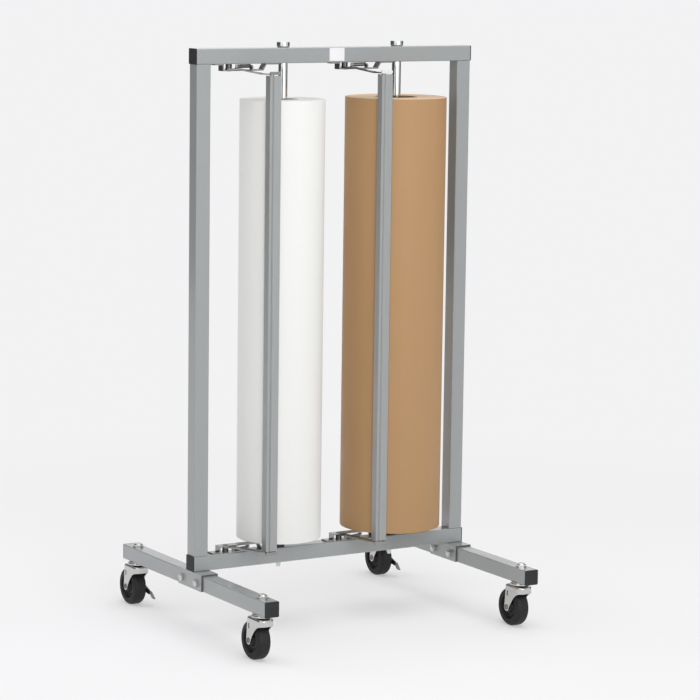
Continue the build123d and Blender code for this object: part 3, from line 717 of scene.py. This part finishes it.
half_wheel = [
    (4.4, 15.2), (8.2, 15.2), (9.0, 14.2), (11.0, 13.6), (13.2, 9.2), (17.0, 8.8),
    (18.2, 10.8), (19.8, 10.8), (21.0, 8.6), (24.0, 8.4), (25.8, 14.5), (29.6, 14.5),
    (30.7, 13.4), (31.8, 14.2), (37.0, 13.4), (40.0, 9.0), (40.0, 0.0),
]
half_radii = [0.6, 0.0, 1.0, 1.4, 0.5, 0.6, 0.6, 0.5, 1.0, 1.0, 0.5, 0.4, 0.5, 2.0, 2.6]
wheel_side = rounded_outline(
    [(radius * mm, height * mm) for radius, height in half_wheel],
    [radius * mm for radius in half_radii],
)
full_wheel = wheel_side + mirrored(wheel_side[:-1])
corners = ("front_left", "front_right", "rear_left", "rear_right")
for corner in corners:
    node = f"{corner}_caster_wheel"
    name = f"{corner}_wheel_moulding"
    piece = turned(name, full_wheel, middle_of(node), (1, 0, 0), closed=True)
    fit(piece, f"{corner}_wheel", "wheel_rubber", node)
print("wheels:", len(corners), "with", len(full_wheel), "rings each")

# %% [markdown]
# Above each wheel sits the swivel: a washer and a ball race on one stem, with a king pin's
# head at its lower end, and a thrust ring under the race. All of it is turned. One outline
# makes the stem. The ring is a piece of its own because it wears the dark wire finish, which is painted shade for
# the gap under the race.

# %% Swivel stems
swivel_segments = 48
stem_top = [(0.0, 0.0), (5.4, 0.0), (6.35, -1.0)]
race = [
    (6.35, 0.0), (18.0, 0.0), (18.0, -2.2), (21.2, -2.2), (22.0, -3.0), (22.0, -5.0),
    (21.2, -5.6), (6.0, -5.6),
]
pin_head = [(6.0, 2.6), (9.4, 2.6), (9.8, 1.2), (8.0, 0.0), (0.0, 0.0)]
thrust_ring = [(6.3, -5.7), (15.0, -5.7), (16.0, -6.9), (15.0, -8.1), (6.3, -8.1)]
foot_base, foot_top = (point.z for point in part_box("left_foot"))


def raised(points, base):
    """An outline listed in millimetres, with its heights counted from a base."""
    return [(radius * mm, base + height * mm) for radius, height in points]


for corner in corners:
    node = f"{corner}_caster_stem"
    low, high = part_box(node)
    stack = raised(stem_top, high.z) + raised(race, foot_base) + raised(pin_head, low.z)
    stem = turned(f"{corner}_swivel_stem", stack, under(node), segments=swivel_segments)
    fit(stem, "rack", "zinc_fastener", node)
    ring = turned(
        f"{corner}_thrust_ring", raised(thrust_ring, foot_base), under(node),
        segments=swivel_segments, closed=True,
    )
    # The ring's dark wire finish is painted shade for the gap under the race.
    fit(ring, "rack", "plated_steel", look="spring_wire")
print("swivel stems:", len(corners))

# %% [markdown]
# The fork is pressed from one sheet: a flat crown with a rounded shoulder, a rounded front
# with a shallow skirt, and two legs that sweep back to the axle. Its wall is drawn as a strip
# round the front, whose lower edge is a formula of the distance behind the stem.

# %% Fork outline
fork_half = 18.0 * mm
fork_front, fork_back = 22.5 * mm, 33.0 * mm
front_round, front_steps = 13.0 * mm, 10
side_steps = 36
skirt_drop = 14.4 * mm
sweep_start, sweep_power = 22.0 * mm, 2.0
trail = 25.0 * mm
leg_half = 8.2 * mm
shoulder, shoulder_steps = 4.0 * mm, 4
wall_rows = 8


def lower_edge(behind, crown, axle):
    """Height of the wall's lower edge, at a distance behind the stem."""
    skirt = crown - skirt_drop
    if behind > trail - leg_half:
        across = min(abs(behind - trail), leg_half)
        return axle - math.sqrt(leg_half**2 - across**2)
    share = max(0.0, (behind + sweep_start) / (trail - leg_half + sweep_start))
    return skirt - (skirt - axle) * share**sweep_power


def wall_plan():
    """Points round the fork from the back left, past the rounded front, to the back right."""
    plan = []
    straight = fork_back + fork_front - front_round
    for step in range(side_steps + 1):
        share = (1 - math.cos(math.pi * step / side_steps)) / 2
        plan.append((-fork_half, fork_back - straight * share))
    for step in range(1, front_steps):
        angle = math.pi / 2 * step / front_steps
        plan.append((
            -fork_half + front_round * (1 - math.cos(angle)),
            -fork_front + front_round * (1 - math.sin(angle)),
        ))
    plan.append((-fork_half + front_round, -fork_front))
    return plan + [(-x, y) for x, y in plan[::-1]]


def inward_ways(plan):
    """Directions towards the middle of the fork, square to its wall, along the plan."""
    ways = []
    for index in range(len(plan)):
        before, after = plan[max(index - 1, 0)], plan[min(index + 1, len(plan) - 1)]
        ways.append(Vector((before[1] - after[1], after[0] - before[0])).normalized())
    return ways


def wall_profile(crown, base):
    """Insets and heights down the wall, over the shoulder and on to the lower edge."""
    profile = []
    for step in range(shoulder_steps + 1):
        angle = math.pi / 2 * step / shoulder_steps
        drop = shoulder * (1 - math.cos(angle))
        profile.append((shoulder * (1 - math.sin(angle)), crown - drop))
    wall_top = crown - shoulder
    for row in range(1, wall_rows + 1):
        profile.append((0.0, wall_top + (base - wall_top) * row / wall_rows))
    return profile


print("fork outline:", len(wall_plan()), "columns")

# %% [markdown]
# The strip and the crown are one skin, and a Solidify modifier gives it the thickness of the
# sheet. The window in each leg is cut with a Boolean, and a small Bevel rounds the pressed
# edges. The modifiers are then made real, so that the piece is a plain mesh.

# %% Forks
fork_sheet = 2.5 * mm
back_lean, lean_start = 4.5 * mm, 8.0 * mm
window_length, window_top, window_base = 4.0 * mm, 13.5 * mm, 24.0 * mm
pressed_round, pressed_angle, fold_angle = 0.7 * mm, 50, 35


def fork_skin(name, stem, crown, axle):
    """The wall and the crown of a fork as one thin skin."""
    build = bmesh.new()
    columns = []
    plan = wall_plan()
    for (x, behind), inward in zip(plan, inward_ways(plan)):
        base = lower_edge(behind, crown, axle)
        lean = back_lean * max(0.0, behind - lean_start) / (fork_back - lean_start)
        column = []
        for inset, height in wall_profile(crown, base):
            y = stem.y + behind + inward.y * inset - lean * (height - base) / (crown - base)
            column.append(build.verts.new((stem.x + x + inward.x * inset, y, height)))
        columns.append(column)
    for before, after in zip(columns, columns[1:]):
        for row in range(len(before) - 1):
            build.faces.new((before[row], before[row + 1], after[row + 1], after[row]))
    build.faces.new([column[0] for column in columns])
    closed_up(build)
    return linked_piece(name, build)


def cut_box(name, low, high):
    """A plain block used only to cut with."""
    build = bmesh.new()
    bmesh.ops.create_cube(build, size=1.0)
    for vert in build.verts:
        vert.co = (low + high) / 2 + vert.co * (high - low)
    return linked_piece(name, build)


def evaluated_mesh(holder):
    """A new mesh of an object, as its modifiers or its curve's section shape it."""
    bpy.context.view_layer.update()
    shaped = holder.evaluated_get(bpy.context.evaluated_depsgraph_get())
    return bpy.data.meshes.new_from_object(shaped)


def pressed_fork(name, stem, crown, axle):
    """A pressed fork under its stem, with its crown's top at a height."""
    piece = fork_skin(name, stem, crown, axle)
    skin = piece.modifiers.new("sheet", "SOLIDIFY")
    skin.thickness, skin.offset = fork_sheet, -1.0
    leg = stem.y + trail
    window = cut_box(
        f"{name}_window",
        Vector((stem.x - 2 * fork_half, leg - window_length, crown - window_base)),
        Vector((stem.x + 2 * fork_half, leg, crown - window_top)),
    )
    opening = piece.modifiers.new("window", "BOOLEAN")
    opening.object, opening.operation = window, "DIFFERENCE"
    soft = piece.modifiers.new("pressed edges", "BEVEL")
    soft.width, soft.segments, soft.limit_method = pressed_round, 2, "ANGLE"
    soft.angle_limit = math.radians(pressed_angle)
    shaped = evaluated_mesh(piece)
    piece.modifiers.clear()
    piece.data = shaped
    bpy.data.objects.remove(window)
    shaped.shade_smooth()
    shaped.set_sharp_from_angle(angle=math.radians(fold_angle))
    return piece


for corner in corners:
    node = f"{corner}_caster_fork"
    stem_spot = middle_of(f"{corner}_caster_stem")
    axle = middle_of(f"{corner}_caster_axle").z
    piece = pressed_fork(f"{corner}_pressed_fork", stem_spot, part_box(node)[1].z, axle)
    fit(piece, f"{corner}_caster", "caster_plate", node)
    print(corner, "fork:", len(piece.data.polygons), "faces")

# %% [markdown]
# The axle is a hollow rivet: its ends are rolled over the legs into a flat head with a hole
# in the middle. It is one more turned piece, spun about the line across the fork. It wears the darker lever
# finish, which is painted shade for its hole and also darkens the head.

# %% Axle rivets
rivet_shank, rivet_head, rivet_hole = 3.9 * mm, 5.8 * mm, 2.5 * mm
head_height, hole_depth, hole_round = 1.5 * mm, 6.0 * mm, 0.5 * mm
head_bevel, head_drop = 0.9 * mm, 0.6 * mm
for corner in corners:
    node = f"{corner}_caster_axle"
    low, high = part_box(node)
    reach = (high.x - low.x) / 2
    half = [
        (0.0, reach - hole_depth), (rivet_hole, reach - hole_depth),
        (rivet_hole, reach - hole_round), (rivet_hole + hole_round, reach),
        (rivet_head - head_bevel, reach), (rivet_head, reach - head_drop),
        (rivet_head, reach - head_height), (rivet_shank, reach - head_height),
    ]
    rivet = half + mirrored(half)
    piece = turned(f"{corner}_axle_rivet", rivet, middle_of(node), (1, 0, 0), segments=32)
    # The darker lever finish on the rivet is painted shade for its hole.
    fit(piece, f"{corner}_caster", "caster_plate", node, look="lever_steel")
print("axle rivets:", len(corners))

# %% [markdown]
# Bolt heads and nuts have a turned chamfer that cuts the six corners into arcs. Going round
# the hexagon in small steps, the top is lowered by how far each point lies outside the flats.
# The nuts on the casters' stems are closed by a dome.

# %% Hexagons and shanks
flat_share, chamfer_slope = 0.96, 0.5
dome_shares = (0.3, 0.55, 0.78, 0.93)
shank_chamfer = 0.8 * mm


def add_rings(build, place, rings):
    """Add a closed form to a mesh in the making, through rings of points from its foot up."""
    loops = [[build.verts.new(place @ spot) for spot in ring] for ring in rings]
    for low, high in zip(loops, loops[1:]):
        bridge(build, low, high)
    build.faces.new(loops[0][::-1])
    build.faces.new(loops[-1])


def add_hex(build, place, flats, height, dome=0.0, steps=48):
    """Add a chamfered hexagon with a flat or domed top."""
    reach = flats / 2
    top = reach * flat_share
    foot, brow = [], []
    for step, way in enumerate(circle(1.0, 0.0, steps)):
        angle = 2 * math.pi * step / steps
        edge = reach / math.cos((angle + math.pi / 6) % (math.pi / 3) - math.pi / 6)
        foot.append(way * edge)
        brow.append(way * edge + Vector((0, 0, height - chamfer_slope * (edge - top))))
    rings = [foot, brow, circle(top, height, steps)]
    if dome:
        for share in dome_shares:
            angle = share * math.pi / 2
            rings.append(circle(top * math.cos(angle), height + dome * math.sin(angle), steps))
    add_rings(build, place, rings)


def add_shank(build, place, radius, length, steps=24):
    """Add a round shank with a chamfered end."""
    add_rings(build, place, [
        circle(radius, 0.0, steps),
        circle(radius, length - shank_chamfer, steps),
        circle(radius - shank_chamfer, length, steps),
    ])


print("hexagons and shanks ready")

# %% [markdown]
# Each group of fasteners is one piece, as its solids are. The stem nuts stand on the feet,
# and each saddle bolt goes through its saddle from the outside to a nut on the inside.

# %% Bolts and nuts
stem_nut_flats, stem_nut_height, stem_nut_dome = 19.05 * mm, 5.0 * mm, 4.2 * mm
bolt_flats, bolt_head, bolt_nut = 14.3 * mm, 6.2 * mm, 8.2 * mm
bolt_radius, bolt_past, bolt_pitch = 4.75 * mm, 10.7 * mm, 63.5 * mm
bolt_middle = middle_of("saddle_bolts")
saddles = {-1.0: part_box("left_saddle"), 1.0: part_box("right_saddle")}
stem_nuts, bolts, bolt_nuts = bmesh.new(), bmesh.new(), bmesh.new()
for corner in corners:
    spot = under(f"{corner}_caster_stem") + Vector((0.0, 0.0, foot_top))
    place = facing(spot, (0, 0, 1))
    add_hex(stem_nuts, place, stem_nut_flats, stem_nut_height, stem_nut_dome)
for outward, (low, high) in saddles.items():
    outer, inner = (high.x, low.x) if outward > 0 else (low.x, high.x)
    length = high.x - low.x + bolt_past
    for offset in (-bolt_pitch / 2, bolt_pitch / 2):
        y, z = bolt_middle.y + offset, bolt_middle.z
        head, nut = Vector((outer, y, z)), Vector((inner, y, z))
        add_hex(bolts, facing(head, (outward, 0, 0)), bolt_flats, bolt_head)
        add_shank(bolts, facing(head, (-outward, 0, 0)), bolt_radius, length)
        add_hex(bolt_nuts, facing(nut, (-outward, 0, 0)), bolt_flats, bolt_nut)
for name, node, build in (
    ("domed_stem_nuts", "caster_stem_nuts", stem_nuts),
    ("hex_saddle_bolts", "saddle_bolts", bolts),
    ("hex_saddle_nuts", "saddle_nuts", bolt_nuts),
):
    bmesh.ops.recalc_face_normals(build, faces=build.faces)
    piece = linked_piece(name, build, sharp=30)
    fit(piece, "rack", "zinc_fastener", node)
    print(name, len(piece.data.vertices), "points")

# %% [markdown]
# Each rod ends in a round collar that rests on the top rail and keeps it from dropping
# through. It is turned and polished, with a chamfer at its foot and rounded edges.

# %% Rod collars
sides = ("left", "right")
collar_bore = 9.6 * mm
collar_chamfer, collar_chamfer_height = 2.0 * mm, 2.4 * mm
collar_rounds = [0.8 * mm, 1.2 * mm, 1.4 * mm]
for side in sides:
    node = f"{side}_rod_collar"
    low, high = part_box(node)
    reach = (high.x - low.x) / 2
    section = [
        (collar_bore, low.z), (reach - collar_chamfer, low.z),
        (reach, low.z + collar_chamfer_height), (reach, high.z), (collar_bore, high.z),
    ]
    outline = rounded_outline(section, collar_rounds)
    piece = turned(f"{side}_turned_collar", outline, under(node), closed=True)
    fit(piece, f"{side}_rod", "rod_steel", node)
print("rod collars:", len(sides))

# %% [markdown]
# The roll is one long sheet wound round its core, so its outline is a spiral and not a
# circle: the radius grows by one sheet in a turn, and the step where the sheet ends lies
# at the cutter's edge. The layers never line up exactly, so the ends are a little uneven.

# %% Roll builder
sheet_step = 0.25 * mm
roll_segments, roll_layers = 144, 26
core_gap = 0.1 * mm
rim, rim_inset, rim_depth = 1.2 * mm, 0.36 * mm, 0.2 * mm
end_depth, slow_dip, quick_dip = 0.45 * mm, 0.25 * mm, 0.12 * mm
lower_waves, upper_waves = (2.4, 0.0, 5.7, 1.0), (3.1, 0.7, 6.3, 0.0)


def dip(layer, slow, slow_start, quick, quick_start):
    """How far a layer's edge is out of line, from a slow and a quick wave."""
    slow_wave = math.sin(layer * slow + slow_start)
    return slow_dip * slow_wave + quick_dip * math.sin(layer * quick + quick_start)


def roll_profile(inner, reach, low, high):
    """Radii and heights round a cut through the roll: its lower end, outside and upper end."""
    span = reach - rim - inner
    radii = [inner + span * layer / roll_layers for layer in range(roll_layers + 1)]
    lower, upper = [], []
    for layer, radius in enumerate(radii):
        lower.append((radius, low + end_depth + dip(layer, *lower_waves)))
        upper.append((radius, high - end_depth + dip(layer, *upper_waves)))
    outside = [
        (reach - rim_inset, low + rim_depth), (reach, low + rim), (reach, (low + high) / 2),
        (reach, high - rim), (reach - rim_inset, high - rim_depth),
    ]
    return lower + outside + upper[::-1]


def wound_roll(name, node, core, seam):
    """A roll of paper as a spiral shell with softly uneven ends, its seam at an angle."""
    low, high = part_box(node)
    centre = (low + high) / 2
    radius = (high.x - low.x) / 2
    core_low, core_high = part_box(core)
    inner = (core_high.x - core_low.x) / 2 + core_gap
    build = bmesh.new()
    columns = []
    for step in range(roll_segments + 1):
        share = step / roll_segments
        angle = seam + 2 * math.pi * share
        reach = radius - sheet_step * (1 - share)
        column = []
        for spot, height in roll_profile(inner, reach, low.z, high.z):
            x = centre.x + spot * math.cos(angle)
            y = centre.y + spot * math.sin(angle)
            column.append(build.verts.new((x, y, height)))
        columns.append(column)
    for before, after in zip(columns, columns[1:] + columns[:1]):
        for index in range(len(before)):
            following = (index + 1) % len(before)
            build.faces.new((before[index], after[index], after[following], before[following]))
    closed_up(build)
    return linked_piece(name, build, sharp=40)


print("roll builder ready")

# %% [markdown]
# Each roll is wound on a tube of board, which shows as a ring at the ends. The seam's angle
# comes from the place of the cutter bar, and the board of the white roll is the paler one.

# %% Paper rolls
core_wall = 6.4 * mm
roll_looks = {"left": ("white_paper", "pale_board"), "right": ("kraft_paper", "core_board")}
for side, (paper_slot, board) in roll_looks.items():
    node, core = f"{side}_paper_roll", f"{side}_roll_core"
    bar_low, bar_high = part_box(f"{side}_cutter_bar")
    axis_spot = middle_of(node)
    seam = math.atan2(bar_low.y - axis_spot.y, bar_high.x - axis_spot.x)
    roll = wound_roll(f"{side}_wound_paper", node, core, seam)
    fit(roll, f"{side}_roll", paper_slot, node)
    low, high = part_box(core)
    outside = (high.x - low.x) / 2
    inside = outside - core_wall
    wall = [(inside, low.z), (outside, low.z), (outside, high.z), (inside, high.z)]
    tube = turned(f"{side}_core_tube", wall, under(core), closed=True)
    fit(tube, f"{side}_roll", "core_board", core, look=board)
    print(side, "roll:", len(roll.data.vertices), "points")

# %% [markdown]
# A small blank sticker sits on the front of the top rail, where such racks carry one. It is a
# thin sheet, made as a grid so that its corners can lift a little, as they do after a while.

# %% Blank label
label_width, label_height, label_sheet = 36.0 * mm, 27.0 * mm, 0.12 * mm
label_columns, label_rows = 16, 12
label_gap, corner_lift, lift_start = 0.15 * mm, 0.25 * mm, 0.82
rail_low, rail_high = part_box("top_rail")
label_x = -1.0 * mm
label_z = (rail_low.z + rail_high.z) / 2 + 1.0 * mm
sticker = bmesh.new()
grid = []
for row in range(label_rows + 1):
    line = []
    for column in range(label_columns + 1):
        u, v = column / label_columns - 0.5, row / label_rows - 0.5
        lift = corner_lift * max(0.0, abs(u) + abs(v) - lift_start) / (1 - lift_start)
        line.append(sticker.verts.new((
            label_x + u * label_width, rail_low.y - label_gap - lift, label_z + v * label_height,
        )))
    grid.append(line)
for lower, upper in zip(grid, grid[1:]):
    for column in range(label_columns):
        after = column + 1
        sticker.faces.new((lower[column], lower[after], upper[after], upper[column]))
label = linked_piece("blank_label", sticker)
thickness = label.modifiers.new("sheet", "SOLIDIFY")
thickness.thickness, thickness.offset = label_sheet, 0.0
label.data.materials.append(finish(
    "label paper", (0.84, 0.84, 0.86), (0.80, 0.80, 0.83), (0.9, 0.9, 0.9),
    metallic=0.0, shine=(0.35, 0.5), grain_scale=1500.0, bump=0.05, wear=0.0,
))
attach(label, "rack")
print("label:", len(label.data.vertices), "points")

# %% [markdown]
# Each arm is pulled towards its roll by an extension spring, wound close from round wire,
# with an eye over the arm's post and a hook through the bracket's ear. The path is worked
# out as a formula, and a curve gives it a round section.

# %% Spring builder
wire_radius, coil_radius = 0.65 * mm, 3.4 * mm
coil_turns, points_per_turn = 13, 20
loop_points = 16
eye_angles, hook_angles = (240.0, 0.0), (180.0, 380.0)


def spring_path(post, ear, depth_way):
    """Points of the wire: the eye round the post, the coil and the hook through the ear."""
    span = ear - post
    along = span.normalized()
    aside = Vector((-along.y, along.x, 0.0))
    inward = Vector((0.0, 0.0, depth_way))

    def loop(centre, angles):
        """Points of an open ring of wire between two angles."""
        first, last = (math.radians(angle) for angle in angles)
        spots = []
        for step in range(loop_points):
            angle = first + (last - first) * step / (loop_points - 1)
            ring = along * math.cos(angle) + aside * math.sin(angle)
            spots.append(centre + ring * coil_radius + inward * coil_radius)
        return spots

    coil = []
    steps = coil_turns * points_per_turn
    for step in range(1, steps):
        share = step / steps
        angle = 2 * math.pi * coil_turns * share
        centre = post + along * (coil_radius + (span.length - 2 * coil_radius) * share)
        swing = inward * math.cos(angle) - aside * math.sin(angle)
        coil.append(centre + swing * coil_radius)
    return loop(post, eye_angles) + coil + loop(ear, hook_angles)


def wire_piece(name, paths):
    """One piece of round wire along each of the paths."""
    curve = bpy.data.curves.new(name, "CURVE")
    curve.dimensions = "3D"
    curve.bevel_depth = wire_radius
    curve.bevel_resolution = 2
    curve.use_fill_caps = True
    for path in paths:
        spline = curve.splines.new("POLY")
        spline.points.add(len(path) - 1)
        for point, spot in zip(spline.points, path):
            point.co = (*spot, 1.0)
    holder = bpy.data.objects.new(name, curve)
    scene.collection.objects.link(holder)
    mesh = evaluated_mesh(holder)
    bpy.data.objects.remove(holder)
    mesh.shade_smooth()
    piece = bpy.data.objects.new(name, mesh)
    scene.collection.objects.link(piece)
    return piece


print("spring builder ready")

# %% [markdown]
# The upper and the lower spring of a side are one piece. When the cutter swings, the eye goes
# with the arm and the hook stays on the rack; the mesh here is set in place once and rides on no body.

# %% Springs
post_reach = 16.5 * mm
ear_spot = Vector((52.5 * mm, -1.9 * mm, 0.0))
coil_depth = 4.9 * mm
rail_faces = ((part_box("top_rail")[0].z, -1.0), (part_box("bottom_rail")[1].z, 1.0))
for side in sides:
    pivot = Vector(joints[f"{side}_cutter_swing"]["pos_m"])
    tip = Vector(joints[f"{side}_bar_turn"]["pos_m"])
    arm_way = Vector((tip.x - pivot.x, tip.y - pivot.y, 0.0)).normalized()
    paths = []
    for face, inward in rail_faces:
        base = Vector((pivot.x, pivot.y, face + inward * coil_depth))
        paths.append(spring_path(base + arm_way * post_reach, base + ear_spot, inward))
    piece = wire_piece(f"{side}_spring_pair", paths)
    piece.data.materials.append(finishes["spring_wire"])
    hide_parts(f"{side}_springs")
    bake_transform(piece)
    print(side, "springs:", len(piece.data.vertices), "points,", coil_turns, "turns each")

# %% [markdown]
# The last cell prints the size of the dressed rack beside that of the imported solids.

# %% Measure and finish
low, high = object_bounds()
cad_size = cad_box[1] - cad_box[0]
print("size:", [round(v, 4) for v in high - low], "of", [round(v, 4) for v in cad_size])
